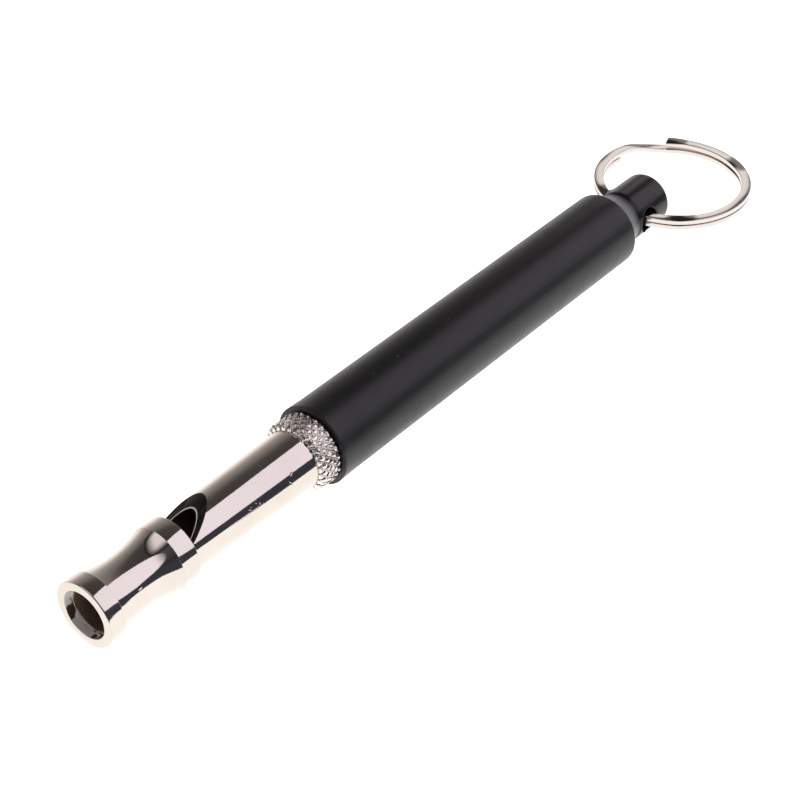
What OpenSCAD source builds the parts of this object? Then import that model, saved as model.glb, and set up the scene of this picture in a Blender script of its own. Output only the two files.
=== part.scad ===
// Adjustable-pitch dog whistle: a nickel-plated mouthpiece tube that screws into
// a black barrel, a knurled ring that locks it, and a split key ring at the end.
// The whistle lies along +X: the mouth's face is at x = 0 on the axis, and every
// sub-part is turned about that axis. +Z is up as the whistle lies on a table.

/* [Barrel] */
// Outer diameter of the barrel
barrel_d = 8.2; // [8:0.05:8.4]
// Length of the barrel's straight outer wall
barrel_len = 47.7; // [44:0.05:52]
// How far the barrel's front edge is rolled outwards
barrel_flare = 0.1; // [0.01:0.01:0.15]
// Length of the rolled front edge's taper
flare_len = 2; // [0.5:0.1:4]
// Length of the hollow shoulder behind the barrel's straight wall
shoulder_len = 2.7; // [2.2:0.05:3]
// Diameter at the foot of the shoulder
shoulder_foot_d = 5.8; // [5.4:0.05:6]
// Thickness of the barrel's closed rear wall
rear_wall = 3.4; // [2.5:0.1:5]
// Length of the threaded stretch inside the barrel's mouth
barrel_thread_len = 12; // [10:0.5:14]

/* [Mouthpiece tube] */
// Outer diameter of the lip flange
flange_d = 6.6; // [6.2:0.05:6.8]
// Thickness of the lip flange
flange_len = 1.7; // [1.2:0.1:2.2]
// Diameter at the narrowest place of the waist
waist_d = 5.44; // [5.3:0.02:5.8]
// Distance of the waist's narrowest place from the mouth
waist_x = 5.15; // [4.8:0.05:5.5]
// Outer diameter of the collar in front of the window
collar_d = 6.56; // [6.2:0.02:6.8]
// Where the collar starts
collar_x = 8.75; // [8.4:0.05:9]
// Length of the collar
collar_len = 1.9; // [1.5:0.05:2.2]
// Outer diameter of the tube just behind the collar
tube_front_d = 5.6; // [5.5:0.02:5.8]
// Outer diameter of the tube where the thread starts
tube_rear_d = 6.22; // [6.1:0.02:6.4]
// Where the plain tube ends and the thread starts
thread_x = 26.2; // [25:0.1:27]
// Overall length of the tube
tube_len = 50; // [48:0.5:54]
// Diameter of the bore that the piston slides in
bore_d = 4.4; // [4.2:0.02:4.5]
// Diameter of the recess in the mouth
mouth_d = 4.78; // [4.6:0.02:5]
// Depth of the recess in the mouth
mouth_depth = 0.95; // [0.5:0.05:1.5]

/* [Window and windway] */
// Turn of the window away from straight up, towards +Y
window_turn = 18.5; // [0:0.5:30]
// Slope of the window's flat cut
window_slope = 25; // [22:0.5:30]
// Height of the cut above the axis where it meets the collar
window_low = 0.7; // [0.5:0.05:1]
// Where the windway block's front face stands
block_x = 4.2; // [3:0.1:5]
// Height of the windway above the block's flat
windway_h = 0.8; // [0.5:0.05:1]

/* [Thread] */
// Outer diameter of the tube's thread
thread_d = 5.9; // [5.8:0.02:5.96]
// Distance from one thread crest to the next
thread_pitch = 0.75; // [0.5:0.25:1]
// Depth of the thread's grooves
thread_depth = 0.36; // [0.2:0.02:0.4]

/* [Lock ring] */
// Outer diameter of the lock ring over its knurl
lock_d = 7.5; // [7:0.05:7.7]
// Length of the lock ring
lock_len = 2.6; // [2:0.05:2.8]
// Number of teeth round the knurl
knurl_count = 28; // [20:2:40]
// Depth of the knurl's grooves
knurl_depth = 0.22; // [0.1:0.02:0.3]

/* [End stud] */
// Diameter of the neck that the key ring goes through
neck_d = 5.8; // [5.6:0.05:6]
// Length of the neck with its undercut, behind the barrel
neck_len = 6; // [5.9:0.05:7]
// Length of the undercut between the barrel and the neck
undercut_len = 0.5; // [0.2:0.05:0.5]
// Diameter of the undercut
undercut_d = 5.2; // [4.4:0.05:5.3]
// Radius of the neck's rounded rear edge
neck_round = 0.7; // [0.2:0.05:1]
// Diameter of the cross hole
hole_d = 2.8; // [2.75:0.05:2.9]
// Distance from the neck's rear face to the cross hole's axis
hole_back = 4; // [3.8:0.05:4.4]
// Diameter of the shank that is pressed into the barrel's rear wall
shank_d = 3.2; // [3:0.1:3.6]

/* [Tuning plunger] */
// Distance from the window's front edge to the piston with the barrel right in
resonator_len = 7; // [6:0.1:8]
// Length of the piston
piston_len = 5; // [4:0.1:6]
// Diameter of the rod between the piston and the end stud
rod_d = 2.4; // [2:0.1:2.6]

/* [Key ring] */
// Outer diameter of the split key ring
ring_d = 17.4; // [17:0.1:17.8]
// Radial width of the ring's flat wire
wire_w = 1.05; // [0.9:0.05:1.05]
// Thickness of one turn of the wire
wire_t = 0.56; // [0.5:0.01:0.6]
// Height of the ring's middle above the cross hole's axis, as it lies
ring_lift = 0.2; // [0:0.02:0.3]
// Sideways place of the ring's middle, as it lies
ring_shift = -0.7; // [-0.7:0.05:0.7]

/* [Hidden] */
$fn = 96;

// Radial clearance of a running fit, and the gap left between faces that turn on each other
fit_gap = 0.05;
face_gap = 0.05;
// Small break on a sharp edge
edge_break = 0.12;
// Length by which a cutting shape runs past the face it cuts
overrun = 1;

barrel_r = barrel_d / 2;
lock_x = thread_x + face_gap;
barrel_x = lock_x + lock_len + face_gap;
barrel_end = barrel_x + barrel_len;
shoulder_end = barrel_end + shoulder_len;
neck_x = shoulder_end + undercut_len;
neck_end = shoulder_end + neck_len;
hole_x = neck_end - hole_back;
thread_bore_r = thread_d / 2 + fit_gap;
relief_r = barrel_r - 0.75;
window_x = collar_x + collar_len;
bore_r = bore_d / 2;
shank_r = shank_d / 2;
piston_x = window_x + resonator_len;

// The waist is one arc that passes through the flange's rear corner
waist_drop = 0.08;
waist_run = waist_x - flange_len;
waist_rise = flange_d / 2 - waist_drop - waist_d / 2;
waist_arc_r = (waist_run * waist_run + waist_rise * waist_rise) / (2 * waist_rise);
WAIST_STEPS = 24;
function waist_r(x) =
    waist_d / 2 + waist_arc_r - sqrt(waist_arc_r * waist_arc_r - (x - waist_x) * (x - waist_x));

// The shank's front end, the rod's shoulder, and the reduced tail that the stud holds
shank_x = shoulder_end - rear_wall - 3.5;
rod_tail_r = 0.8;
rod_tail_len = 4;
rod_in_piston = piston_len - 1;

// The wire of the key ring: it starts on top, runs one turn down to the bend,
// and then runs under itself to its other end
ring_r = ring_d / 2 - wire_w / 2;
turn_gap_near = 0.05;
turn_gap_far = 0.2;
RING_START = 37;
BEND_START = 75;
BEND_END = 40;
RING_END = 82;
RING_STEP = 6;
hole_half = neck_d / 2;
ring_nearest = sqrt(pow(ring_r - wire_w / 2, 2) - pow(hole_half + abs(ring_shift), 2));
ring_x = hole_x + (ring_nearest + ring_d / 2) / 2;

// Turns a profile that is drawn as [x, radius] points about the whistle's axis
module turned(points) {
    rotate([0, 90, 0])
        rotate([0, 0, 90])
            rotate_extrude()
                polygon([for (p = points) [p[1], p[0]]]);
}

// A plain round bar along the whistle's axis
module bar(x0, x1, r) {
    translate([x0, 0, 0])
        rotate([0, 90, 0])
            cylinder(h = x1 - x0, r = r);
}

// The nickel-plated mouthpiece: lip, waist, collar, plain tube and threaded tail
module whistle_tube() {
    groove_count = floor((tube_len - thread_x - 1.2) / thread_pitch);
    outline = concat(
        [[0, 0], [0, flange_d / 2 - edge_break], [edge_break, flange_d / 2]],
        [[flange_len - edge_break, flange_d / 2], [flange_len, flange_d / 2 - waist_drop]],
        [for (i = [1:WAIST_STEPS - 1])
            let (x = flange_len + (collar_x - flange_len) * i / WAIST_STEPS) [x, waist_r(x)]],
        [[collar_x, collar_d / 2], [window_x, collar_d / 2], [window_x, tube_front_d / 2]],
        [[thread_x, tube_rear_d / 2], [thread_x, thread_d / 2 - thread_depth]],
        [for (i = [0:groove_count - 1], k = [0:1])
            [thread_x + 0.6 + (i + k / 2) * thread_pitch, thread_d / 2 - (1 - k) * thread_depth]],
        [[tube_len - 0.4, thread_d / 2 - thread_depth], [tube_len, thread_d / 2 - thread_depth], [tube_len, 0]]
    );
    color("gainsboro")
        difference() {
            turned(outline);
            bar(-overrun, mouth_depth, mouth_d / 2);
            bar(-overrun, tube_len + overrun, bore_r);
            window_cut();
        }
}

// The flat sloping cut behind the collar that makes the window and its sharp lip
module window_cut() {
    reach = 7;
    side = 10;
    low = window_low;
    high = low + reach * tan(window_slope);
    rotate([-window_turn, 0, 0])
        rotate([90, 0, 0])
            linear_extrude(height = side, center = true)
                polygon([[window_x, low], [window_x + reach, high], [window_x + reach, side], [window_x, side]]);
}

// The plug in the tube's bore whose flat top leaves the windway open
module windway_block() {
    flat_z = bore_r - windway_h;
    color("dimgray")
        rotate([-window_turn, 0, 0])
            difference() {
                bar(block_x, window_x, bore_r);
                translate([block_x - overrun, -bore_r, flat_z])
                    cube([window_x - block_x + 2 * overrun, bore_d, bore_d]);
            }
}

// The knurled ring on the tube's thread, run back against the barrel
module lock_ring() {
    tip_r = lock_d / 2;
    root_r = tip_r - knurl_depth;
    clear_r = tip_r + 0.05;
    lock_end = lock_x + lock_len;
    tooth = 360 / knurl_count;
    teeth = [for (i = [0:knurl_count - 1], k = [0:1])
        let (a = (i + k / 2) * tooth, r = k == 0 ? tip_r : root_r) [r * cos(a), r * sin(a)]];
    color("silver")
        difference() {
            intersection() {
                translate([lock_x, 0, 0])
                    rotate([0, 90, 0])
                        linear_extrude(height = lock_len)
                            polygon(teeth);
                turned([
                    [lock_x, 0], [lock_x, root_r - edge_break], [lock_x + 0.36, clear_r],
                    [lock_end - 0.2, clear_r], [lock_end, root_r + 0.04], [lock_end, 0]
                ]);
            }
            bar(lock_x - overrun, lock_end + overrun, thread_bore_r);
            for (i = [1:2])
                turned([
                    [lock_x + lock_len * i / 3 - 0.16, clear_r + 0.1], [lock_x + lock_len * i / 3, root_r + 0.05],
                    [lock_x + lock_len * i / 3 + 0.16, clear_r + 0.1]
                ]);
        }
}

// The black barrel: threaded mouth, relieved bore, closed rear with a hollow shoulder
module barrel() {
    flare_r = barrel_r + barrel_flare;
    foot_r = shoulder_foot_d / 2;
    drop = barrel_r - foot_r;
    // a plain cone first, which then bends round to lie along the axis
    shoulder = [for (t = [0:0.1:1])
        [barrel_end + shoulder_len * t, foot_r + drop * pow(1 - t, 1.7)]];
    color("#1c1c1e")
        difference() {
            turned(concat(
                [[barrel_x, 0], [barrel_x, flare_r - 0.2], [barrel_x + 0.06, flare_r - 0.06]],
                [[barrel_x + 0.2, flare_r], [barrel_x + flare_len, barrel_r]],
                shoulder,
                [[shoulder_end, 0]]
            ));
            bar(barrel_x - overrun, barrel_x + barrel_thread_len + overrun, thread_bore_r);
            bar(barrel_x + barrel_thread_len, shoulder_end - rear_wall, relief_r);
            bar(barrel_x, shoulder_end + overrun, shank_r);
        }
}

// The end stud: shank in the barrel's rear wall, undercut, and neck with the cross hole
module end_stud() {
    neck_r = neck_d / 2;
    undercut_r = undercut_d / 2;
    rounding = [for (a = [0:10:90])
        [neck_end - neck_round * (1 - sin(a)), neck_r - neck_round * (1 - cos(a))]];
    color("#232325")
        difference() {
            turned(concat(
                [[shank_x, 0], [shank_x, shank_r], [shoulder_end, shank_r], [shoulder_end, undercut_r]],
                [[neck_x, undercut_r], [neck_x, neck_r - 0.2], [neck_x + 0.2, neck_r]],
                rounding,
                [[neck_end, 0]]
            ));
            translate([hole_x, 0, 0])
                rotate([90, 0, 0])
                    cylinder(h = neck_d + 2 * overrun, r = hole_d / 2, center = true);
            bar(shank_x - overrun, shank_x + rod_tail_len + 0.2, rod_tail_r + fit_gap);
        }
}

// The thin rod that carries the piston, with a reduced tail held in the stud's socket
module tuning_rod() {
    color("lightsteelblue")
        turned([
            [piston_x + piston_len - rod_in_piston, 0],
            [piston_x + piston_len - rod_in_piston, rod_d / 2],
            [shank_x - face_gap, rod_d / 2],
            [shank_x - face_gap, rod_tail_r],
            [shank_x + rod_tail_len, rod_tail_r],
            [shank_x + rod_tail_len, 0]
        ]);
}

// The piston head that closes the resonator
module piston() {
    piston_r = bore_r - fit_gap;
    color("goldenrod")
        difference() {
            turned([
                [piston_x, 0], [piston_x, piston_r - edge_break], [piston_x + edge_break, piston_r],
                [piston_x + piston_len - edge_break, piston_r],
                [piston_x + piston_len, piston_r - edge_break], [piston_x + piston_len, 0]
            ]);
            bar(piston_x + piston_len - rod_in_piston, piston_x + piston_len + overrun, rod_d / 2);
        }
}

// Height of the wire's middle after it has run a given angle from its top end. The two
// turns lie close together in the cross hole and stand further apart behind it.
function wire_z(run) =
    let (bend_from = 360 + RING_START - BEND_START, bend_to = 360 + RING_START - BEND_END,
         t = max(0, min(1, (run - bend_from) / (bend_to - bend_from))),
         spread = (1 + cos(RING_START - run)) / 2)
    (wire_t + turn_gap_near + (turn_gap_far - turn_gap_near) * spread) / 2 * cos(180 * t);

// The split key ring: a flat wire wound two turns, swept as one closed band
module split_ring() {
    total = 720 + RING_START - RING_END;
    steps = ceil(total / RING_STEP);
    half_w = wire_w / 2;
    half_t = wire_t / 2;
    section = [[-half_w, -half_t], [half_w, -half_t], [half_w, half_t], [-half_w, half_t]];
    points = [for (i = [0:steps], s = section)
        let (run = total * i / steps, a = RING_START - run, r = ring_r + s[0])
        [r * cos(a), r * sin(a), wire_z(run) + s[1]]];
    sides = [for (i = [0:steps - 1], k = [0:3])
        let (n = (k + 1) % 4) [4 * i + k, 4 * i + n, 4 * i + 4 + n, 4 * i + 4 + k]];
    color("silver")
        translate([ring_x, ring_shift, ring_lift])
            polyhedron(
                points = points,
                faces = concat([[3, 2, 1, 0]], sides, [[for (k = [0:3]) 4 * steps + k]]),
                convexity = 8
            );
}

whistle_tube();
windway_block();
lock_ring();
barrel();
end_stud();
tuning_rod();
piston();
split_ring();
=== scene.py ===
import math
import random

import bmesh
import bpy
from mathutils import Matrix, Vector


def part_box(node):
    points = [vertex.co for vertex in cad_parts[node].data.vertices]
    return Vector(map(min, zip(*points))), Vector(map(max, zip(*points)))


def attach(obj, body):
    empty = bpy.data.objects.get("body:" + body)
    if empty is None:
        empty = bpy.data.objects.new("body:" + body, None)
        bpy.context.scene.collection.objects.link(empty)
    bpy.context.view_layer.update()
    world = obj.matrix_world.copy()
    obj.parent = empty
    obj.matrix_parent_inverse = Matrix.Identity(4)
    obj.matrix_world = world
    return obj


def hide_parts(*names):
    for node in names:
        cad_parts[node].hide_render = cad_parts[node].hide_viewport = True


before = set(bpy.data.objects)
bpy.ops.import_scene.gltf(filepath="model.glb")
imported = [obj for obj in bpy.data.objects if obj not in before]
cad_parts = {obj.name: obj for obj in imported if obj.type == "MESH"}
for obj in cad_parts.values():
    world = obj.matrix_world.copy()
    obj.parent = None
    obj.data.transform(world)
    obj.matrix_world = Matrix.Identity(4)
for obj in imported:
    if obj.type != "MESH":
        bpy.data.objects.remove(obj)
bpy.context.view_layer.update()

MM = 0.001
TAU = 2 * math.pi


def span(node):
    """A CAD node's lowest and highest corner, in millimetres."""
    low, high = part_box(node)
    return [v / MM for v in low], [v / MM for v in high]


# ---------------------------------------------------------------- places, in millimetres
TUBE_HIGH = span("whistle_tube")[1]
LOCK_LOW, LOCK_HIGH = span("lock_ring")
BARREL_LOW, BARREL_HIGH = span("barrel")
STUD_LOW, STUD_HIGH = span("end_stud")
BLOCK_LOW, BLOCK_HIGH = span("windway_block")
ROD_LOW, ROD_HIGH = span("tuning_rod")
PISTON_LOW, PISTON_HIGH = span("piston")
RING_LOW, RING_HIGH = span("split_ring")
FLOOR_Z = BARREL_LOW[2] - 0.01

FLANGE_R = TUBE_HIGH[2]
FLANGE_END = 1.7
MOUTH_R = 2.39
MOUTH_DEPTH = 0.95
BORE_R = BLOCK_HIGH[1]
WAIST_R = 2.72
WAIST_X = 5.15
COLLAR_R = 3.28
COLLAR_X = 8.75
WINDOW_X = BLOCK_HIGH[0]
TUBE_FRONT_R = 2.8
TUBE_REAR_R = 3.11
THREAD_X = LOCK_LOW[0] - 0.05
THREAD_R = 2.95
THREAD_PITCH = 0.75
THREAD_DEPTH = 0.36
TUBE_END = TUBE_HIGH[0]
WINDOW_TURN = math.radians(18.5)
WINDOW_TILT = math.radians(25)
WINDOW_SLOPE = math.tan(WINDOW_TILT)
WINDOW_LOW = 0.7

BARREL_R = BARREL_HIGH[2] - 0.1
SHOULDER_LEN = 2.7
SHOULDER_FOOT_R = 2.9
SHOULDER_X = BARREL_HIGH[0] - SHOULDER_LEN
SHANK_R = 1.6

NECK_R = STUD_HIGH[1]
NECK_X = BARREL_HIGH[0] + 0.5
UNDERCUT_R = 2.6
NECK_END = STUD_HIGH[0]
HOLE_X = NECK_END - 4.0
HOLE_R = 1.4
SOCKET_R = 0.85

WIRE_W = 1.05
WIRE_T = 0.56
RING_OUTER_R = 8.7
RING_R = RING_OUTER_R - WIRE_W / 2
RING_CX = RING_HIGH[0] - RING_OUTER_R
RING_CY = (RING_LOW[1] + RING_HIGH[1]) / 2
RING_CZ = (RING_LOW[2] + RING_HIGH[2]) / 2
# where the wire starts, bends down from one turn to the next, and ends, in degrees
RING_START, BEND_START, BEND_END, RING_END = 37, 75, 40, 82


# ---------------------------------------------------------------- mesh helpers
class Shell:
    """Collects points and faces of one piece, in millimetres."""

    def __init__(self):
        self.points = []
        self.faces = []
        self.marks = []

    def add(self, point, mark=0.0):
        self.points.append(point)
        self.marks.append(mark)
        return len(self.points) - 1

    def row(self, points, mark=0.0):
        return [self.add(p, mark) for p in points]

    def strip(self, a, b, flip=False):
        """Faces between two closed rows of the same length."""
        n = len(a)
        for i in range(n):
            j = (i + 1) % n
            face = [a[i], a[j], b[j], b[i]]
            face = [v for k, v in enumerate(face) if v != face[k - 1]]
            if len(face) > 2:
                self.faces.append(face[::-1] if flip else face)

    def fan(self, row, centre, flip=False):
        """Faces between a closed row and a point."""
        n = len(row)
        for i in range(n):
            face = [row[i], row[(i + 1) % n], centre]
            self.faces.append(face[::-1] if flip else face)

    def build(self, name, sharp=32.0, weld=1e-4):
        """Makes the object; edges that turn more than sharp degrees stay sharp."""
        mesh = bpy.data.meshes.new(name)
        mesh.from_pydata([[c * MM for c in p] for p in self.points], [], self.faces)
        layer = mesh.attributes.new("mark", "FLOAT", "POINT")
        layer.data.foreach_set("value", self.marks)
        bm = bmesh.new()
        bm.from_mesh(mesh)
        bmesh.ops.remove_doubles(bm, verts=bm.verts, dist=weld * MM)
        bmesh.ops.recalc_face_normals(bm, faces=bm.faces)
        bm.to_mesh(mesh)
        bm.free()
        mesh.shade_smooth()
        mesh.set_sharp_from_angle(angle=math.radians(sharp))
        obj = bpy.data.objects.new(name, mesh)
        bpy.context.scene.collection.objects.link(obj)
        return obj


def circle(x, r, n, start=0.0):
    """A ring of points about the whistle's axis, from +Z towards -Y."""
    return [(x, -r * math.sin(start + TAU * i / n), r * math.cos(start + TAU * i / n)) for i in range(n)]


def arc(cx, cr, rad, a0, a1, steps):
    """[x, r] points on an arc of a profile, angles in degrees from +x towards +r."""
    return [(cx + rad * math.cos(math.radians(a0 + (a1 - a0) * i / steps)),
             cr + rad * math.sin(math.radians(a0 + (a1 - a0) * i / steps))) for i in range(steps + 1)]


def rounded(points, radii, steps=4):
    """A profile with its corners rounded by the given radii."""
    out = []
    n = len(points)
    for i, (p, rad) in enumerate(zip(points, radii)):
        if rad <= 0 or i in (0, n - 1):
            out.append(p)
            continue
        a, b = Vector(points[i - 1]) - Vector(p), Vector(points[i + 1]) - Vector(p)
        rad = min(rad, a.length * 0.45, b.length * 0.45)
        a, b = a.normalized() * rad, b.normalized() * rad
        for k in range(steps + 1):
            t = k / steps
            q = Vector(p) + a * (1 - t) * (1 - t) + b * t * t
            out.append((q.x, q.y))
    return out


def lathe(shell, profile, n):
    """Turns an [x, r] profile about the axis."""
    rows = [shell.row(circle(x, max(r, 0.0), n)) for x, r in profile]
    for a, b in zip(rows, rows[1:]):
        shell.strip(a, b)
    return rows


# ---------------------------------------------------------------- materials
def material(name):
    mat = bpy.data.materials.new(name)
    mat.use_nodes = True
    tree = mat.node_tree
    tree.nodes.clear()
    out = tree.nodes.new("ShaderNodeOutputMaterial")
    shader = tree.nodes.new("ShaderNodeBsdfPrincipled")
    tree.links.new(shader.outputs[0], out.inputs[0])
    return mat, tree, shader


def noise(tree, scale, detail=3.0, rough=0.5, stretch=None):
    """Fractal noise in the object's own coordinates."""
    coord = tree.nodes.new("ShaderNodeTexCoord")
    made = tree.nodes.new("ShaderNodeTexNoise")
    made.inputs["Scale"].default_value = scale
    made.inputs["Detail"].default_value = detail
    made.inputs["Roughness"].default_value = rough
    if stretch:
        mapping = tree.nodes.new("ShaderNodeMapping")
        mapping.inputs["Scale"].default_value = stretch
        tree.links.new(coord.outputs["Object"], mapping.inputs[0])
        tree.links.new(mapping.outputs[0], made.inputs["Vector"])
    else:
        tree.links.new(coord.outputs["Object"], made.inputs["Vector"])
    return made.outputs["Fac"]


def ramp(tree, source, stops):
    """A value or a colour for each level of the source, from [level, value] stops."""
    made = tree.nodes.new("ShaderNodeValToRGB")
    band = made.color_ramp
    while len(band.elements) < len(stops):
        band.elements.new(0.5)
    for element, (place, value) in zip(band.elements, stops):
        element.position = place
        element.color = (value, value, value, 1) if isinstance(value, float) else (*value, 1)
    tree.links.new(source, made.inputs[0])
    return made.outputs[0]


def math_node(tree, operation, a, b):
    made = tree.nodes.new("ShaderNodeMath")
    made.operation = operation
    for slot, value in zip(made.inputs, (a, b)):
        if isinstance(value, (int, float)):
            slot.default_value = value
        else:
            tree.links.new(value, slot)
    return made.outputs[0]


def bump(tree, shader, height, strength, distance):
    made = tree.nodes.new("ShaderNodeBump")
    made.inputs["Strength"].default_value = strength
    made.inputs["Distance"].default_value = distance
    tree.links.new(height, made.inputs["Height"])
    tree.links.new(made.outputs[0], shader.inputs["Normal"])


def soft_step(tree, value, start, end, low=0.0, high=1.0):
    """A smooth run from low to high while a value goes from start to end."""
    made = tree.nodes.new("ShaderNodeMapRange")
    made.interpolation_type = "SMOOTHSTEP"
    for name, number in (("From Min", start), ("From Max", end), ("To Min", low), ("To Max", high)):
        made.inputs[name].default_value = number
    tree.links.new(value, made.inputs["Value"])
    return made.outputs[0]


def axes(tree):
    """The object's own coordinates, apart."""
    coord = tree.nodes.new("ShaderNodeTexCoord")
    split = tree.nodes.new("ShaderNodeSeparateXYZ")
    tree.links.new(coord.outputs["Object"], split.inputs[0])
    return split.outputs


def soft_ball(tree, place, turn, size):
    """1 in the middle of a stretched ball, falling to 0 at its edge. Place and size are in millimetres."""
    coord = tree.nodes.new("ShaderNodeTexCoord")
    mapping = tree.nodes.new("ShaderNodeMapping")
    mapping.vector_type = "TEXTURE"
    mapping.inputs["Location"].default_value = [c * MM for c in place]
    mapping.inputs["Rotation"].default_value = turn
    mapping.inputs["Scale"].default_value = [c * MM for c in size]
    tree.links.new(coord.outputs["Object"], mapping.inputs[0])
    ball = tree.nodes.new("ShaderNodeTexGradient")
    ball.gradient_type = "SPHERICAL"
    tree.links.new(mapping.outputs[0], ball.inputs[0])
    return ball.outputs[0]


def add_up(tree, values):
    total = values[0]
    for value in values[1:]:
        total = math_node(tree, "ADD", total, value)
    return total


def blend(tree, factor, first, second):
    """Goes from a socket's colour to a plain one."""
    mix = tree.nodes.new("ShaderNodeMix")
    mix.data_type = "RGBA"
    tree.links.new(factor, mix.inputs["Factor"])
    tree.links.new(first, mix.inputs["A"])
    mix.inputs["B"].default_value = (*second, 1)
    return mix.outputs["Result"]


def dents(tree, places):
    """Small dents at the given places: distance from the mouth, radius there, angle from the top towards -Y,
    length, width and turn."""
    balls = []
    for x, r, angle, length, width, turn in places:
        a = math.radians(angle)
        way = Matrix.Rotation(a, 3, "X") @ Matrix.Rotation(math.radians(turn), 3, "Z")
        place = (x, -r * math.sin(a), r * math.cos(a))
        balls.append(soft_ball(tree, place, way.to_euler("XYZ"), (length, width, 0.3)))
    return add_up(tree, balls)


def polished_nickel(name, base=(0.66, 0.605, 0.55), rough=(0.045, 0.09), scratch=0.25, places=()):
    """Nickel plate: soft waves from hand polishing, fine turning marks and small nicks."""
    mat, tree, shader = material(name)
    shader.inputs["Metallic"].default_value = 1.0
    shader.inputs["IOR"].default_value = 2.0
    tint = ramp(tree, noise(tree, 220, 4), [(0.3, tuple(c * 0.94 for c in base)), (0.7, base)])
    tree.links.new(tint, shader.inputs["Base Color"])
    cloud = ramp(tree, noise(tree, 900, 5, 0.65), [(0.35, rough[0]), (0.8, rough[1])])
    lines = ramp(tree, noise(tree, 260, 6, 0.7, (14, 1, 1)), [(0.5, 0.0), (0.78, 0.08)])
    tree.links.new(math_node(tree, "ADD", cloud, lines), shader.inputs["Roughness"])
    waves = noise(tree, 160, 2, 0.4)
    grain = noise(tree, 3200, 4, 0.7)
    height = math_node(tree, "ADD", waves, math_node(tree, "MULTIPLY", grain, scratch))
    if places:
        height = math_node(tree, "SUBTRACT", height, math_node(tree, "MULTIPLY", dents(tree, places), 3.2))
    bump(tree, shader, height, 0.25, 0.00002)
    return mat


def specks(tree, scale, size, rarity):
    """Sparse small round specks."""
    coord = tree.nodes.new("ShaderNodeTexCoord")
    cells = tree.nodes.new("ShaderNodeTexVoronoi")
    cells.inputs["Scale"].default_value = scale
    tree.links.new(coord.outputs["Object"], cells.inputs["Vector"])
    split = tree.nodes.new("ShaderNodeSeparateColor")
    tree.links.new(cells.outputs["Color"], split.inputs[0])
    near = math_node(tree, "LESS_THAN", cells.outputs["Distance"], size)
    rare = math_node(tree, "GREATER_THAN", split.outputs[0], rarity)
    return math_node(tree, "MULTIPLY", near, rare)


def black_anodised(name, base=0.008, rough=(0.34, 0.43)):
    """Black anodised aluminium: satin, with dust specks and faint rub marks along it."""
    mat, tree, shader = material(name)
    shader.inputs["IOR"].default_value = 1.42
    dust = specks(tree, 640, 0.055, 0.62)
    low = (base * 0.8, base * 0.8, base * 0.88)
    high = (base * 1.3, base * 1.28, base * 1.4)
    tone = ramp(tree, noise(tree, 120, 4), [(0.3, low), (0.75, high)])
    dusty = blend(tree, math_node(tree, "MULTIPLY", dust, 0.6), tone, (0.16, 0.15, 0.14))
    tree.links.new(dusty, shader.inputs["Base Color"])
    cloud = ramp(tree, noise(tree, 700, 5, 0.6), [(0.3, rough[0]), (0.75, rough[1])])
    rubs = ramp(tree, noise(tree, 90, 6, 0.75, (0.5, 9, 9)), [(0.55, 0.0), (0.8, 0.07)])
    tree.links.new(math_node(tree, "ADD", cloud, rubs), shader.inputs["Roughness"])
    bump(tree, shader, noise(tree, 4200, 5, 0.7), 0.12, 0.00001)
    return mat


def shoulder_painted_sheen(name, x_from, x_to):
    """The barrel's hollow shoulder: a painted lighter reflection band on the black, fading back to black
    towards the neck.
    """
    mat, tree, shader = material(name)
    shader.inputs["IOR"].default_value = 1.5
    fade = soft_step(tree, axes(tree)["X"], x_from * MM, x_to * MM)
    # the lighter grey tones are a painted reflection of the bright horizon
    light = ramp(tree, noise(tree, 500, 5, 0.6, (4, 1, 1)),
                 [(0.35, (0.125, 0.135, 0.155)), (0.7, (0.19, 0.20, 0.22))])
    tree.links.new(blend(tree, fade, light, (0.012, 0.012, 0.013)), shader.inputs["Base Color"])
    tree.links.new(ramp(tree, noise(tree, 900, 4), [(0.3, 0.38), (0.7, 0.5)]), shader.inputs["Roughness"])
    bump(tree, shader, noise(tree, 2200, 4, 0.6, (8, 1, 1)), 0.2, 0.00001)
    return mat


def patchy_painted_sheen(name, scale):
    """Plating inside the mouth: painted bright reflections in patches, dark brown where it is tarnished."""
    mat, tree, shader = material(name)
    wear_and_painted_sheen = noise(tree, scale, 2, 0.5)
    # the near-white stops paint the bright reflections; the dark brown stop is tarnish
    tone = ramp(tree, wear_and_painted_sheen,
                [(0.44, (0.07, 0.038, 0.026)), (0.49, (0.95, 0.93, 0.91)), (0.7, (1.0, 0.97, 0.95))])
    tree.links.new(tone, shader.inputs["Base Color"])
    tree.links.new(ramp(tree, wear_and_painted_sheen, [(0.44, 0.5), (0.5, 0.3)]), shader.inputs["Roughness"])
    bump(tree, shader, noise(tree, 2400, 3), 0.2, 0.00001)
    return mat


def plain(name, low, high, metal, rough, scale=600, stretch=None, depth=0.1):
    """A turned or moulded inner part: two tones, uneven gloss and a fine grain."""
    mat, tree, shader = material(name)
    shader.inputs["Metallic"].default_value = metal
    tree.links.new(ramp(tree, noise(tree, scale, 4), [(0.3, low), (0.7, high)]), shader.inputs["Base Color"])
    cloud = ramp(tree, noise(tree, scale * 2, 5, 0.6, stretch), [(0.3, rough[0]), (0.75, rough[1])])
    tree.links.new(cloud, shader.inputs["Roughness"])
    bump(tree, shader, noise(tree, scale * 5, 4, 0.6, stretch), depth, 0.00001)
    return mat


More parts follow.
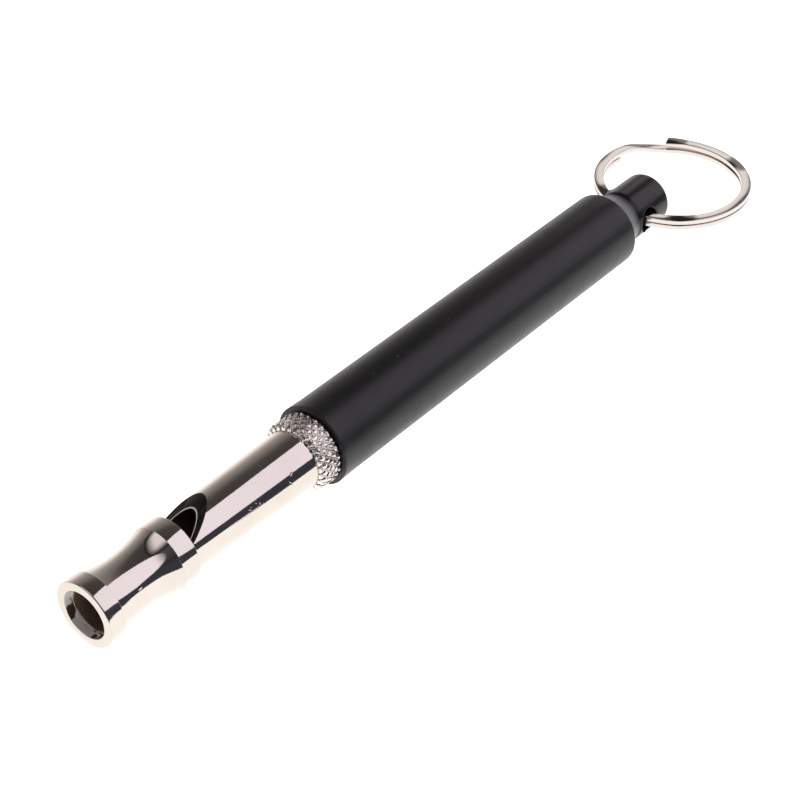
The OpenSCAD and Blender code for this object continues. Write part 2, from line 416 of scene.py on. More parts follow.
# small dents on the tube, as dents() takes them
NICKS = [(23.2, 3.05, 57, 0.24, 0.10, 40), (22.7, 3.05, 69, 0.34, 0.09, -55), (18.5, 2.96, 61, 0.14, 0.10, 0),
         (17.9, 2.95, 64, 0.26, 0.08, 30), (17.3, 2.94, 63, 0.12, 0.13, 0), (18.9, 2.96, 67, 0.18, 0.07, 60),
         (17.6, 2.94, 66, 0.2, 0.06, -30), (14.5, 2.88, 60, 0.10, 0.2, 0), (17.6, 2.94, 47, 0.07, 0.2, 10),
         (15.5, 2.9, 5, 0.6, 0.05, 20), (14.8, 2.88, -5, 0.7, 0.05, -15), (4.4, 2.76, 62, 0.3, 0.06, 5),
         (21.2, 3.0, 12, 0.3, 0.05, 70)]
NICKEL_TUBE = polished_nickel("nickel_plate", places=NICKS)
# a darker brown for the inside of the bore
NICKEL_DARK = plain("bore_dark_brown", (0.14, 0.09, 0.065), (0.22, 0.15, 0.11), 0.0, (0.5, 0.65))
NICKEL_CUT = plain("window_cut_face", (0.010, 0.009, 0.008), (0.028, 0.024, 0.022), 1.0, (0.34, 0.46), 900,
                   (1, 9, 1))
NICKEL_LIP = plain("window_lip", (0.80, 0.77, 0.74), (0.97, 0.95, 0.93), 0.35, (0.35, 0.5), 1500)
# the mouth's recess: painted bright reflections in patches, with tarnish between them
NICKEL_RECESS = patchy_painted_sheen("recess_nickel", 620)
KNURL = polished_nickel("knurled_nickel", (0.80, 0.75, 0.71), (0.16, 0.26), 0.8)
BLACK = black_anodised("black_anodised")
BLACK_STUD = black_anodised("black_stud", 0.007, (0.24, 0.32))
BLOCK_MAT = plain("dark_block", (0.012, 0.011, 0.010), (0.03, 0.028, 0.026), 0.0, (0.45, 0.6))
STEEL = plain("rod_steel", (0.42, 0.42, 0.43), (0.56, 0.56, 0.57), 1.0, (0.2, 0.32), 500, (1, 12, 12))
BRASS = plain("piston_brass", (0.55, 0.38, 0.13), (0.72, 0.52, 0.22), 1.0, (0.18, 0.3), 500, (12, 1, 1))


# ---------------------------------------------------------------- the mouthpiece tube
def tube_r(x):
    """Outer radius of the plain tapered tube."""
    return TUBE_FRONT_R + (TUBE_REAR_R - TUBE_FRONT_R) * (x - WINDOW_X) / (THREAD_X - WINDOW_X)


def waist_profile():
    """The hollow between lip flange and collar: one arc, lowest at WAIST_X."""
    drop = 0.08
    run = WAIST_X - FLANGE_END
    rise = FLANGE_R - drop - WAIST_R
    rad = (run * run + rise * rise) / (2 * rise)
    steps = 40
    return [(x, WAIST_R + rad - math.sqrt(rad * rad - (x - WAIST_X) ** 2))
            for x in [FLANGE_END + (COLLAR_X - FLANGE_END) * i / steps for i in range(steps + 1)]]


def cut_start(radius, angle):
    """Where a wall of this radius (a function of x) starts behind the window's cut."""
    c = math.cos(angle)
    x = WINDOW_X
    if radius(x) * c <= WINDOW_LOW:
        return x
    for _ in range(30):
        x = WINDOW_X + (radius(x) * c - WINDOW_LOW) / WINDOW_SLOPE
    return max(x, WINDOW_X)


def around(x, r, angle):
    """The point at an angle from the window's middle, positive towards -Y."""
    a = angle - WINDOW_TURN
    return (x, -r * math.sin(a), r * math.cos(a))


def build_tube():
    shell = Shell()
    n = 256
    angles = [TAU * i / n for i in range(n)]

    # lip, waist and collar
    front = rounded(
        [(MOUTH_DEPTH, BORE_R), (MOUTH_DEPTH, MOUTH_R), (0.0, MOUTH_R), (0.0, FLANGE_R), (FLANGE_END, FLANGE_R),
         (FLANGE_END, FLANGE_R - 0.08)], [0, 0.04, 0.1, 0.14, 0.07, 0], 5)
    waist = waist_profile()
    collar = rounded([waist[-1], (COLLAR_X, COLLAR_R), (WINDOW_X, COLLAR_R), (WINDOW_X, COLLAR_R - 0.1)],
                     [0, 0.05, 0.05, 0], 4)
    profile = front + waist[1:] + collar[1:]
    rows = [shell.row([around(x, r, a) for a in angles]) for x, r in profile]
    for a, b in zip(rows, rows[1:]):
        shell.strip(a, b)
    collar_back = rows[-1]

    # bore from the mouth's ledge to the collar's rear face
    bore_rows = [rows[0]]
    for x in (2.5, 4.0, 6.0, 8.0, 9.6, WINDOW_X):
        bore_rows.append(shell.row([around(x, BORE_R, a) for a in angles], 1.0))
    for a, b in zip(bore_rows, bore_rows[1:]):
        shell.strip(a, b)

    # the plain tube behind the window, warped so that its front edge follows the cut
    outer_start = [cut_start(tube_r, a) for a in angles]
    bore_start = [cut_start(lambda x: BORE_R, a) for a in angles]
    steps = 26
    outer_rows = []
    for k in range(steps + 1):
        t = (k / steps) ** 1.3
        xs = [s + (THREAD_X - s) * t for s in outer_start]
        outer_rows.append(shell.row([around(x, tube_r(x), a) for x, a in zip(xs, angles)]))
    for a, b in zip(outer_rows, outer_rows[1:]):
        shell.strip(a, b)

    # the cut's ramp and the bright lip round the bore's edge
    def cut_edge(rise, lift, mark):
        """A row on the cut, this far outside the bore and lifted a little off it."""
        made = []
        for a in angles:
            start = cut_start(lambda x: BORE_R + rise, a)
            x = start - lift * math.sin(WINDOW_TILT) * (1 if start > WINDOW_X else 0)
            made.append(around(x, BORE_R + rise, a))
        return shell.row(made, mark)

    lip = 0.075
    edge = outer_rows[0]
    for share, lift, mark in ((1, 0.0, 0.6), (0.75, 0.06, 0.5), (0.3, 0.06, 0.5), (0, 0.0, 0.5)):
        row = cut_edge(lip * share, lift, mark)
        shell.strip(edge, row)
        edge = row

    # the collar's rear face closes the wall between collar and tube, and the bore's edge in the window
    for i in range(n):
        j = (i + 1) % n
        face = [collar_back[i], collar_back[j]]
        if outer_start[i] <= WINDOW_X and outer_start[j] <= WINDOW_X:
            shell.faces.append(face + [outer_rows[0][j], outer_rows[0][i]])
        else:
            shell.faces.append(face + [bore_rows[-1][j], bore_rows[-1][i]])

    # bore behind the window
    last = edge
    for k in range(1, 15):
        t = k / 14
        xs = [s + (TUBE_END - s) * t for s in bore_start]
        row = shell.row([around(x, BORE_R, a) for x, a in zip(xs, angles)], 1.0)
        shell.strip(last, row)
        last = row

    # threaded tail: a helix cut as a height field
    step = THREAD_PITCH / 12
    count = int(round((TUBE_END - THREAD_X) / step))
    crest = THREAD_R - 0.05
    previous = shell.row([around(THREAD_X + 0.01, crest, a) for a in angles])
    shell.strip(outer_rows[-1], previous)
    for k in range(1, count + 1):
        x = THREAD_X + step * k
        fade = max(0.0, min(1.0, (x - THREAD_X) / 0.6, (TUBE_END - x) / 0.8))
        row = []
        for a in angles:
            phase = (x / THREAD_PITCH - a / TAU) % 1.0
            depth = THREAD_DEPTH * min(1.0, max(0.0, abs(2 * phase - 1) * 1.25 - 0.12))
            r = crest - depth * fade
            if x > TUBE_END - 0.5:
                r = min(r, THREAD_R - 0.1 - (x - TUBE_END + 0.5) * 0.5)
            row.append(around(x, r, a))
        row = shell.row(row)
        shell.strip(previous, row)
        previous = row
    shell.strip(previous, last)
    return shell.build("mouthpiece_tube", 34)


def assign_by(obj, mats, choose):
    """Gives each face one of the materials by its centre and its mark."""
    for mat in mats:
        obj.data.materials.append(mat)
    marks = obj.data.attributes["mark"].data
    for face in obj.data.polygons:
        centre = face.center / MM
        mark = sum(marks[v].value for v in face.vertices) / len(face.vertices)
        face.material_index = choose(centre, face.normal, mark)


PLATED, BORE, CUT, RECESS, LIP = range(5)


def tube_material(centre, normal, mark):
    """Which of the tube's materials a face gets. Marks: 1 for the bore, 0.5 to 0.6 for the window's edges."""
    from_axis = math.hypot(centre.y, centre.z)
    if 0.07 < centre.x < MOUTH_DEPTH - 0.03 and from_axis < MOUTH_R + 0.05:
        return RECESS
    if mark > 0.7 or (mark > 0.45 and centre.x < WINDOW_X + 0.02 and from_axis < BORE_R + 0.01):
        return BORE
    across = Vector((-math.sin(WINDOW_TILT), 0, math.cos(WINDOW_TILT)))
    turned = Matrix.Rotation(-WINDOW_TURN, 3, "X") @ across
    if centre.x > WINDOW_X + 0.01 and 0.1 < mark < 0.45 and abs(normal.dot(turned)) > 0.985:
        return CUT
    if mark > 0.45 and centre.x > WINDOW_X + 0.02:
        return LIP
    return PLATED


tube = build_tube()
assign_by(tube, [NICKEL_TUBE, NICKEL_DARK, NICKEL_CUT, NICKEL_RECESS, NICKEL_LIP], tube_material)
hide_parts("whistle_tube")
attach(tube, "tube")


# ---------------------------------------------------------------- the windway block
def build_block():
    shell = Shell()
    flat = BORE_R - 0.8
    half = math.acos(flat / BORE_R)
    r = BORE_R - 0.002
    n = 96
    angles = [half + (TAU - 2 * half) * i / n for i in range(n + 1)]
    flats = 12
    width = math.sin(half) * r

    def section(x, inset):
        made = [around(x, r - inset, a) for a in angles]
        for i in range(1, flats):
            y = -width + 2 * width * i / flats
            a = math.atan2(y * (1 - inset / r), flat - inset)
            made.append(around(x, math.hypot(y * (1 - inset / r), flat - inset), a))
        return made
    xs = [(BLOCK_LOW[0], 0.12), (BLOCK_LOW[0] + 0.12, 0.0), (BLOCK_HIGH[0] - 0.1, 0.0), (BLOCK_HIGH[0], 0.08)]
    rows = [shell.row(section(x, inset)) for x, inset in xs]
    for a, b in zip(rows, rows[1:]):
        shell.strip(a, b)
    shell.fan(rows[0], shell.add((BLOCK_LOW[0], 0, 0)), True)
    shell.fan(rows[-1], shell.add((BLOCK_HIGH[0], 0, 0)))
    return shell.build("windway_plug")


block = build_block()
block.data.materials.append(BLOCK_MAT)
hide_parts("windway_block")
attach(block, "tube")


# ---------------------------------------------------------------- the lock ring
def build_lock():
    shell = Shell()
    x0, x1 = LOCK_LOW[0], LOCK_HIGH[0]
    tip = LOCK_HIGH[2]
    depth = 0.31
    teeth = 28
    across = 16
    n = teeth * across
    pitch = 0.95
    bore = 3.0
    rows_count = 48
    # how much each tooth is worn down
    draw = random.Random(11)
    wear_and_painted_sheen = [[draw.uniform(0.0, 0.10) for _ in range(teeth)] for _ in range(8)]
    rows = []
    for k in range(rows_count + 1):
        along = k / rows_count
        row = []
        for i in range(n):
            a = TAU * i / n
            x = x0 + 0.02 + (x1 - x0 - 0.04) * along
            p, q = i / across + (x - x0) / pitch, i / across - (x - x0) / pitch
            # two crossing rows of grooves leave the diamonds between them
            u, v = abs(2 * (p % 1.0) - 1), abs(2 * (q % 1.0) - 1)
            high = min(1 - u, 1 - v)
            top = 0.70 + 0.30 * high
            high = min(high * 2.4, top)
            worn_and_painted_dark = wear_and_painted_sheen[int(p + q) % 8][int(p) % teeth]
            r = tip - depth * (1 - high) - worn_and_painted_dark * high
            front_slope = 0.34 * max(0.0, 1 - (x - x0) / 0.42) ** 1.3
            rear_chamfer = 0.9 * max(0.0, 0.14 - (x1 - x))
            r -= front_slope + rear_chamfer
            if along < 0.001:
                x += 0.02 + 0.12 * (1 - high)
            row.append((x, -r * math.sin(a), r * math.cos(a)))
        rows.append(shell.row(row))
    for a, b in zip(rows, rows[1:]):
        shell.strip(a, b)
    inner = []
    for x, r in ((x0, bore + 0.12), (x0 + 0.12, bore), (x1 - 0.12, bore), (x1, bore + 0.12)):
        inner.append(shell.row(circle(x, r, n)))
    for a, b in zip(inner, inner[1:]):
        shell.strip(a, b, flip=True)
    shell.strip(rows[0], inner[0])
    shell.strip(rows[-1], inner[-1])
    return shell.build("lock_ring_knurled", 22)


lock = build_lock()
lock.data.materials.append(KNURL)
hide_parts("lock_ring")
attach(lock, "lock_ring")


# ---------------------------------------------------------------- the barrel
def build_barrel():
    shell = Shell()
    x0 = BARREL_LOW[0]
    flare = BARREL_HIGH[2]
    end = BARREL_HIGH[0]
    drop = BARREL_R - SHOULDER_FOOT_R
    outer = [(x0, 3.05), (x0, flare - 0.15)]
    outer += arc(x0 + 0.09, flare - 0.13, 0.09, 180, 96, 8)[1:]
    outer += [(x0 + 0.2 + 0.2 * i, BARREL_R + 0.05 * (1 - i / 13) ** 2) for i in range(1, 13)]
    start = outer[-1][0]
    outer += [(start + (SHOULDER_X - 0.14 - start) * i / 30, BARREL_R) for i in range(1, 31)]
    outer += [(SHOULDER_X - 0.05, BARREL_R - 0.012), (SHOULDER_X, BARREL_R - 0.05)]
    for i in range(1, 25):
        t = 0.03 + 0.97 * i / 24
        outer.append((SHOULDER_X + SHOULDER_LEN * t, SHOULDER_FOOT_R + drop * (1 - t) ** 1.7))
    outer += [(end, SHOULDER_FOOT_R - 0.05), (end, SHANK_R)]
    n = 224
    rows = lathe(shell, outer, n)

    # the inner thread, then the wide and the narrow bore behind it
    thread_end = x0 + 12
    step = THREAD_PITCH / 8
    count = int((thread_end - x0 - 0.5) / step)
    previous = shell.row(circle(x0 + 0.3, 3.06, n))
    shell.strip(rows[0], previous, flip=True)
    for k in range(count):
        x = x0 + 0.35 + step * k
        row = []
        for i in range(n):
            phase = (x / THREAD_PITCH - i / n) % 1.0
            r = 3.02 + 0.2 * (1 - abs(2 * phase - 1)) * min(1.0, k / 6, (count - 1 - k) / 6)
            a = TAU * i / n
            row.append((x, -r * math.sin(a), r * math.cos(a)))
        row = shell.row(row)
        shell.strip(previous, row)
        previous = row
    rear = [(thread_end, 3.02), (thread_end + 0.1, BARREL_R - 0.75), (end - 3.5, BARREL_R - 0.75),
            (end - 3.4, BARREL_R - 0.85), (end - 3.4, SHANK_R), (end, SHANK_R)]
    for x, r in rear:
        row = shell.row(circle(x, r, n))
        shell.strip(previous, row)
        previous = row
    return shell.build("tuning_barrel", 32)


barrel = build_barrel()
barrel.data.materials.append(BLACK)
# the shoulder's lighter band is a painted reflection
barrel.data.materials.append(shoulder_painted_sheen("shoulder_painted_sheen_band", SHOULDER_X + 1.4, SHOULDER_X + 2.7))
for face in barrel.data.polygons:
    from_axis = math.hypot(face.center.y, face.center.z)
    if face.center.x / MM > SHOULDER_X + 0.02 and from_axis / MM > SHOULDER_FOOT_R - 0.03:
        face.material_index = 1
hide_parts("barrel")
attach(barrel, "barrel")


# ---------------------------------------------------------------- the end stud
def build_stud():
    shell = Shell()
    n = 224
    quarter = n // 4
    x_front = HOLE_X - 1.44
    x_back = HOLE_X + 1.9
    nose = 0.7
    rear = [(x_back + (NECK_END - nose - x_back) * i / 6, NECK_R) for i in range(7)]
    for degrees in range(9, 91, 9):
        a = math.radians(degrees)
        rear.append((NECK_END - nose + nose * math.sin(a), NECK_R - nose + nose * math.cos(a)))
    rear += [(NECK_END, 1.2), (NECK_END, 0.0)]
    front = [(STUD_LOW[0], SOCKET_R), (STUD_LOW[0], SHANK_R - 0.1), (STUD_LOW[0] + 0.1, SHANK_R),
             (BARREL_HIGH[0], SHANK_R), (BARREL_HIGH[0], UNDERCUT_R), (NECK_X - 0.36, UNDERCUT_R),
             (NECK_X - 0.33, UNDERCUT_R + 0.14), (NECK_X - 0.2, NECK_R - 0.09), (NECK_X, NECK_R - 0.03),
             (x_front, NECK_R)]
    lathe(shell, front, n)
    lathe(shell, rear, n)

    # the band that holds the cross hole: plain columns away from it, and polar patches round each mouth
    window = 26
    steps = 12
    band = [shell.row(circle(x_front + (x_back - x_front) * k / steps, NECK_R, n)) for k in range(steps + 1)]
    sides = (quarter, 3 * quarter)
    for a, b in zip(band, band[1:]):
        for i in range(n):
            if any(-window <= i - s < window for s in sides):
                continue
            shell.faces.append([a[i], a[(i + 1) % n], b[(i + 1) % n], b[i]])

    mouths = []
    for s, side in zip(sides, (-1, 1)):
        loop = [(k, s - window) for k in range(steps)]
        loop += [(steps, s - window + i) for i in range(2 * window)]
        loop += [(steps - k, s + window) for k in range(steps)]
        loop += [(0, s + window - i) for i in range(2 * window)]
        outer = [band[k][i % n] for k, i in loop]
        flat = []
        for k, i in loop:
            x = x_front + (x_back - x_front) * k / steps - HOLE_X
            z = (s - i) / n * TAU * NECK_R * (1 if side < 0 else -1)
            flat.append((x, z))
        previous = outer
        # how far out towards the patch's edge each loop lies, and how deep
        rings = [(0.75, 0), (0.5, 0), (0.28, 0), (0.12, 0), (0.04, 0.0), (0.0, 0.02), (0.0, 0.09)]
        for t, sink in rings:
            row = []
            for x, z in flat:
                a = math.atan2(z, x)
                rim = HOLE_R + 0.07 - min(sink, 0.07)
                cx, cz = rim * math.cos(a), rim * math.sin(a)
                px, pz = cx + (x - cx) * t, cz + (z - cz) * t
                arc_z = NECK_R * math.sin(max(-1.5, min(1.5, pz / NECK_R))) if t > 0 else pz
                arc_z = arc_z * t + pz * (1 - t) if 0 < t < 1 else arc_z
                y = math.sqrt(max(NECK_R ** 2 - arc_z ** 2, 0.01)) - sink
                # a ragged burr below the near mouth, and a raised lip on the far one
                burr = 0.0
                if side < 0 and sink == 0.02:
                    low = max(0.0, math.cos(a + 2.0)) ** 12
                    burr = 0.24 * low * (0.7 + 0.3 * math.sin(a * 37))
                if side > 0 and sink <= 0.02 and t < 0.3:
                    burr = 0.34 * max(0.0, math.sin(a + 0.25)) ** 3 * (1 - t / 0.3)
                row.append((HOLE_X + px, side * (y + burr), arc_z))
            row = shell.row(row)
            shell.strip(previous, row)
            previous = row
        mouths.append((previous, flat))
    # the hole's wall
    wall_steps = 8
    (row_a, flat_a), (row_b, flat_b) = mouths
    previous = row_a
    targets = [math.atan2(z, x) for x, z in flat_a]
    for k in range(1, wall_steps):
        t = k / wall_steps
        row = []
        for a in targets:
            z = HOLE_R * math.sin(a)
            y0 = math.sqrt(NECK_R ** 2 - z * z) - 0.09
            row.append((HOLE_X + HOLE_R * math.cos(a), -y0 + 2 * y0 * t, z))
        row = shell.row(row)
        shell.strip(previous, row)
        previous = row
    # the other mouth's loop runs the other way round, so match its points by angle
    order = []
    angles_b = [math.atan2(z, x) for x, z in flat_b]
    for a in targets:
        best = min(range(len(angles_b)), key=lambda i: abs(math.remainder(angles_b[i] - a, TAU)))
        order.append(row_b[best])
    shell.strip(previous, order)

    # the socket that holds the rod
    lathe(shell, [(STUD_LOW[0], SOCKET_R), (STUD_LOW[0] + 4.1, SOCKET_R), (STUD_LOW[0] + 4.3, 0.0)], n)
    return shell.build("end_stud_neck", 30)


stud = build_stud()
stud.data.materials.append(BLACK_STUD)
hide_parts("end_stud")
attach(stud, "barrel")


# ---------------------------------------------------------------- rod and piston
def build_rod():
    shell = Shell()
    x0, x1 = ROD_LOW[0], ROD_HIGH[0]
    shoulder = STUD_LOW[0] - 0.05
    r = ROD_HIGH[1]
    profile = rounded([(x0, 0.0), (x0, r), (shoulder, r), (shoulder, 0.8), (x1, 0.8), (x1, 0.0)],
                      [0, 0.12, 0.12, 0.03, 0.15, 0], 4)
    lathe(shell, profile, 96)
    return shell.build("tuning_rod_turned")


rod = build_rod()
rod.data.materials.append(STEEL)
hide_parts("tuning_rod")
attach(rod, "plunger")


def build_piston():
    shell = Shell()
    x0, x1 = PISTON_LOW[0], PISTON_HIGH[0]
    r = PISTON_HIGH[1]
    profile = [(x0, 0.0), (x0, r - 0.18), (x0 + 0.12, r - 0.05), (x0 + 0.2, r)]
    for g in (1.2, 2.2, 3.2):
        profile += [(x0 + g, r), (x0 + g + 0.08, r - 0.15), (x0 + g + 0.32, r - 0.15), (x0 + g + 0.4, r)]
    profile += [(x1 - 0.15, r), (x1, r - 0.15), (x1, 1.2), (x0 + 1.0, 1.2), (x0 + 1.0, 0.0)]
    lathe(shell, profile, 128)
    return shell.build("piston_head")


piston = build_piston()
piston.data.materials.append(BRASS)
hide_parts("piston")
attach(piston, "plunger")


# ---------------------------------------------------------------- the split ring
def wire_z(run):
    """Height of the wire's middle after it has run an angle, in degrees, from its top end."""
    a, b = 360 + RING_START - BEND_START, 360 + RING_START - BEND_END
    t = max(0.0, min(1.0, (run - a) / (b - a)))
    spread = (1 + math.cos(math.radians(RING_START - run))) / 2
    return (WIRE_T + 0.05 + 0.15 * spread) / 2 * math.cos(math.pi * t)


def build_ring():
    shell = Shell()
    hw, ht = WIRE_W / 2, WIRE_T / 2
    section = []
    corner = 0.085
    for cs, ct, first in ((1, 1, 0), (-1, 1, 90), (-1, -1, 180), (1, -1, 270)):
        for k in range(5):
            a = math.radians(first + 90 * k / 4)
            section.append((cs * (hw - corner) + corner * math.cos(a),
                            ct * (ht - corner) + corner * math.sin(a)))
    total = 720 + RING_START - RING_END
    steps = 420
    rows = []
    # places where the wire was rolled a little when it was wound: run, width, turn in degrees
    rolls = [(3, 9, -8), (67, 10, -10), (122, 14, 3), (180, 9, 9), (246, 10, 10), (300, 8, 3)]
    for i in range(steps + 1):
        run = total * i / steps
        row = []
        here = run % 360
        roll = math.radians(sum(turn * math.exp(-((here - at) / wide) ** 2) for at, wide, turn in rolls))
        # the top end springs up a little
        lift = 0.16 * max(0.0, 1 - run / 50) ** 2
        for s0, t0 in section:
            s = s0 * math.cos(roll) + t0 * math.sin(roll)
            t = t0 * math.cos(roll) - s0 * math.sin(roll) + lift
            # the wire's ends are cut a little on the slant
            slant = s / hw * (max(0.0, 1 - (total - run) / 12) - 1.4 * max(0.0, 1 - run / 12))
            a = math.radians(RING_START - run + slant)
            r = RING_R + min(s, hw)
            row.append((RING_CX + r * math.cos(a), RING_CY + r * math.sin(a), RING_CZ + wire_z(run) + t))
        rows.append(shell.row(row))
    for a, b in zip(rows, rows[1:]):
        shell.strip(a, b)
    for row, flip in ((rows[0], True), (rows[-1], False)):
        centre = [sum(shell.points[v][k] for v in row) / len(row) for k in range(3)]
        shell.fan(row, shell.add(centre), flip)
    return shell.build("split_ring_wire", 40)


def wire_with_painted_dark_reflections():
    """The ring's plating: bright, with a few painted dark reflections on top of the wire."""
    mat = polished_nickel("ring_nickel", (0.66, 0.61, 0.57), (0.08, 0.16), 0.5)
    tree = mat.node_tree
    shader = next(n for n in tree.nodes if n.type == "BSDF_PRINCIPLED")
    bright = shader.inputs["Base Color"].links[0].from_socket
    # painted dark reflections at places on the top turn: run from the wire's top end in degrees, length in mm
    balls = []
    for run, length in ((2, 2.6), (66, 2.3), (177, 2.4), (249, 2.1)):
        a = math.radians(RING_START - run)
        above = RING_CZ + wire_z(run) + WIRE_T / 2 + 0.25
        place = (RING_CX + RING_R * math.cos(a), RING_CY + RING_R * math.sin(a), above)
        balls.append(soft_ball(tree, place, (0, 0, a), (2.4, length, 0.42)))
    grain = math_node(tree, "MULTIPLY", noise(tree, 1500, 3), 0.12)
    uneven = math_node(tree, "ADD", add_up(tree, balls), grain)
    # dark reflections are painted into the wire's colour at the places above
    worn_and_painted_dark = ramp(tree, uneven, [(0.08, 0.0), (0.30, 1.0)])
    painted_dark_reflection = blend(tree, math_node(tree, "MULTIPLY", worn_and_painted_dark, 0.9), bright, (0.10, 0.085, 0.08))
    tree.links.new(painted_dark_reflection, shader.inputs["Base Color"])
    return mat


ring = build_ring()
# the ring's plating, with dark reflections painted into its colour
ring.data.materials.append(wire_with_painted_dark_reflections())
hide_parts("split_ring")
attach(ring, "key_ring")


# ---------------------------------------------------------------- camera
camera = bpy.data.objects.new("camera", bpy.data.cameras.new("camera"))
bpy.context.scene.collection.objects.link(camera)
camera.data.lens = 86.22
camera.data.sensor_width = 36
camera.data.clip_start = 0.005
camera.data.clip_end = 20
camera.location = Vector((-72.69, -93.29, 112.38)) * MM
back = Vector((-0.6122, -0.4988, 0.6136)).normalized()
camera.rotation_mode = "QUATERNION"
camera.rotation_quaternion = back.to_track_quat("Z", "Y")
bpy.context.scene.camera = camera


# ---------------------------------------------------------------- floor, room and lights
def glowing(name, colour, strength):
    """An emission material and its glow node."""
    mat = bpy.data.materials.new(name)
    mat.use_nodes = True
    tree = mat.node_tree
    tree.nodes.clear()
    out = tree.nodes.new("ShaderNodeOutputMaterial")
    glow = tree.nodes.new("ShaderNodeEmission")
    glow.inputs["Color"].default_value = (*colour, 1)
    glow.inputs["Strength"].default_value = strength
    tree.links.new(glow.outputs[0], out.inputs[0])
    return mat, tree, glow, out


def fade_along(tree, glow, axis, start, end, low, high):
    """The glow's strength runs from low to high between two places on an axis, in millimetres."""
    level = soft_step(tree, axes(tree)[axis], start * MM, end * MM, low, high)
    tree.links.new(level, glow.inputs["Strength"])


def panel(name, corners, mat, hidden=True):
    """A flat piece of the stage, which the camera doesn't see unless hidden is False."""
    mesh = bpy.data.meshes.new(name)
    mesh.from_pydata([[c * MM for c in p] for p in corners], [], [list(range(len(corners)))])
    obj = bpy.data.objects.new(name, mesh)
    bpy.context.scene.collection.objects.link(obj)
    obj.data.materials.append(mat)
    if hidden:
        obj.visible_camera = False
    return obj


FLOOR_NEAR, FLOOR_FAR, FLOOR_HALF = 1.31, 1.0, 3000
floor_mat, tree, glow, surface = glowing("floor_white", (1.0, 0.985, 0.975), 1.0)
fade_along(tree, glow, "Y", -5, 35, FLOOR_NEAR, FLOOR_FAR)
matte = tree.nodes.new("ShaderNodeBsdfDiffuse")
matte.inputs["Color"].default_value = (0.35, 0.35, 0.35, 1)
both = tree.nodes.new("ShaderNodeAddShader")
tree.links.new(glow.outputs[0], both.inputs[0])
tree.links.new(matte.outputs[0], both.inputs[1])
tree.links.new(both.outputs[0], surface.inputs[0])
panel("floor", [(x * FLOOR_HALF, y * FLOOR_HALF, FLOOR_Z) for x, y in ((-1, -1), (1, -1), (1, 1), (-1, 1))],
      floor_mat, False)

# a low dark card beside the whistle makes the thin dark stripe on its flank, and one on the floor widens it
FLAG_Y = -30
LOW = FLOOR_Z + 0.02
FLAG_TOP = [(190, 12), (60, 12), (45, 9.5), (26, 9.5), (18, 14), (-80, 14)]
FLAG_FOOT = [(-80, LOW), (8, LOW), (10, -3.5), (14, 0), (17, 0.3), (25, -0.7), (31, -2.2), (36, LOW), (50, LOW),
             (64, -1.9), (95, -1.2), (190, -1.2)]
FLAG_DARK = glowing("flag_dark", (0.054, 0.056, 0.078), 1.0)[0]
flag = panel("dark_flag", [(x, FLAG_Y, z) for x, z in FLAG_TOP + FLAG_FOOT], FLAG_DARK)
CARD = [(30, -30), (54, -30), (50, -22), (33, -22)]
card = panel("dark_card", [(x, y, LOW + 0.02) for x, y in CARD], FLAG_DARK)
for obj in (flag, card):
    obj.visible_diffuse = False
    obj.visible_shadow = False


def softbox(name, tilt_from, tilt_to, middle, spread, x_mid, x_run, x_to, distance, colour, strength):
    """A large light panel along the whistle, with an oval start. Its plane passes through two lines parallel to
    the axis, at these tilts from straight up towards -Y. Its middle and half height are shares of their gap."""
    b0, b1 = math.radians(tilt_from), math.radians(tilt_to)
    corners = []
    steps = 40
    for i in range(steps + 1):
        share = middle + spread * math.cos(math.pi * i / steps)
        y = -distance * (math.sin(b0) * (1 - share) + math.sin(b1) * share)
        z = distance * (math.cos(b0) * (1 - share) + math.cos(b1) * share)
        corners.append((x_mid - x_run * math.sin(math.pi * i / steps), y, z))
    first, last = corners[0], corners[-1]
    corners += [(x_to, last[1], last[2]), (x_to, first[1], first[2])]
    mat, tree, glow, _ = glowing(name + "_glow", colour, strength)
    fade_along(tree, glow, "X", 0, 75, 0.0, strength)
    return panel(name, corners, mat)


softbox("key_softbox", 4, 70, 0.53, 0.60, 420, 400, 900, 320, (1.0, 0.945, 1.04), 1.26)


def top_panel(name, z, x_soft, y_soft, colour, strength):
    """An overhead light whose edges fade between the given places, each pair from dark to full."""
    mat, tree, glow, _ = glowing(name + "_glow", colour, strength)
    place = axes(tree)
    level = None
    for axis, (dark, full) in (("X", x_soft), ("Y", y_soft[:2]), ("Y", y_soft[2:])):
        ends = (0.0, 1.0) if dark < full else (1.0, 0.0)
        part = soft_step(tree, place[axis], min(dark, full) * MM, max(dark, full) * MM, *ends)
        level = part if level is None else math_node(tree, "MULTIPLY", level, part)
    tree.links.new(math_node(tree, "MULTIPLY", level, strength), glow.inputs["Strength"])
    x0, x1, y0, y1 = -90, max(x_soft), min(y_soft), max(y_soft)
    return panel(name, [(x0, y0, z), (x1, y0, z), (x1, y1, z), (x0, y1, z)], mat)


top_panel("top_light", 300, (84, 26), (-120, 10, 290, 150), (1.0, 0.95, 0.98), 1.05)


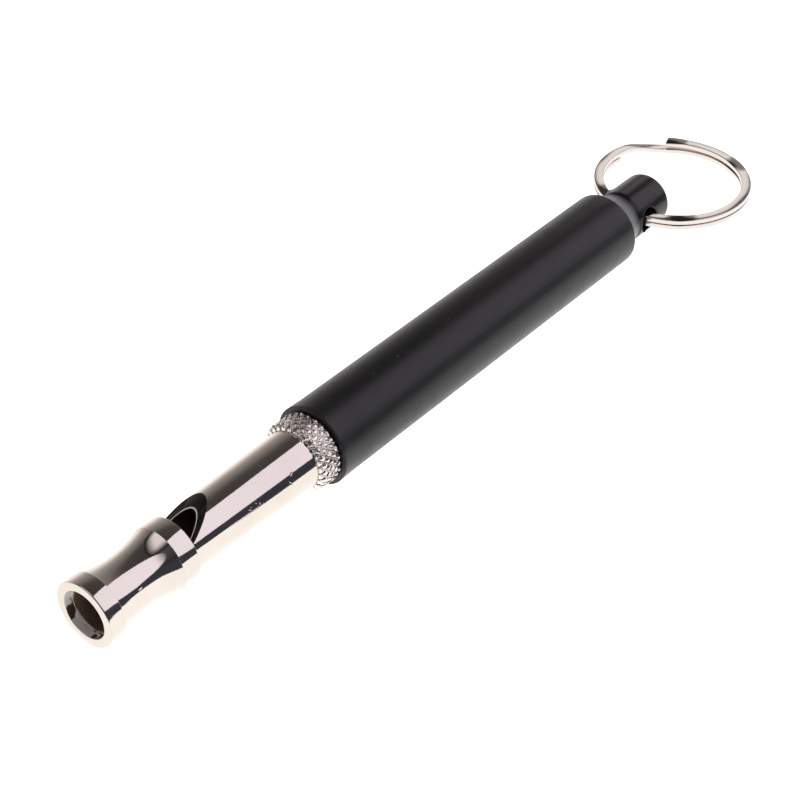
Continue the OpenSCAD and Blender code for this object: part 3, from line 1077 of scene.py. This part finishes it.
def round_light(name, centre, half, facing, colour, strength):
    """A light panel whose glow falls off softly from its middle."""
    mat, tree, glow, _ = glowing(name + "_glow", colour, strength)
    ball = soft_ball(tree, centre, (0, 0, 0), (half, half, half))
    level = ramp(tree, ball, [(0.0, 0.0), (0.12, 0.06), (0.42, 0.92), (0.6, 1.0)])
    tree.links.new(math_node(tree, "MULTIPLY", level, strength), glow.inputs["Strength"])
    normal = Vector(facing).normalized()
    side = normal.orthogonal().normalized()
    up = normal.cross(side)
    corners = []
    for i in range(24):
        a = TAU * i / 24
        corners.append(Vector(centre) + (side * math.cos(a) + up * math.sin(a)) * half)
    return panel(name, [tuple(c) for c in corners], mat)


round_light("ring_light", (163, 42, 52), 28, (-0.8, -0.45, -0.35), (1.0, 0.955, 0.96), 1.15)

# the room: pale towards +Y and the horizon, dark overhead and behind the camera
world = bpy.data.worlds.new("studio")
bpy.context.scene.world = world
world.use_nodes = True
room = world.node_tree
room.nodes.clear()
surface = room.nodes.new("ShaderNodeOutputWorld")
background = room.nodes.new("ShaderNodeBackground")
coord = room.nodes.new("ShaderNodeTexCoord")
way = room.nodes.new("ShaderNodeSeparateXYZ")
room.links.new(coord.outputs["Generated"], way.inputs[0])
SKY = [(0.0, 1.0), (0.15, 0.70), (0.22, 0.60), (0.30, 0.47), (0.41, 0.38), (0.52, 0.29), (0.62, 0.23),
       (0.69, 0.165), (0.75, 0.115), (0.80, 0.085), (1.0, 0.06)]
sky = ramp(room, way.outputs["Z"], [(p, (v, v * 0.93, v * 0.90)) for p, v in SKY])
dark = ramp(room, way.outputs["Z"], [(0.0, 0.03), (0.3, 0.03), (0.55, 0.05), (0.85, 0.09), (1.0, 0.07)])
mix = room.nodes.new("ShaderNodeMix")
mix.data_type = "RGBA"
room.links.new(soft_step(room, way.outputs["Y"], -0.30, -0.05), mix.inputs["Factor"])
room.links.new(dark, mix.inputs["A"])
room.links.new(sky, mix.inputs["B"])
room.links.new(mix.outputs["Result"], background.inputs["Color"])
room.links.new(background.outputs[0], surface.inputs[0])
background.inputs["Strength"].default_value = 1.0

bpy.context.scene.view_settings.view_transform = "Standard"
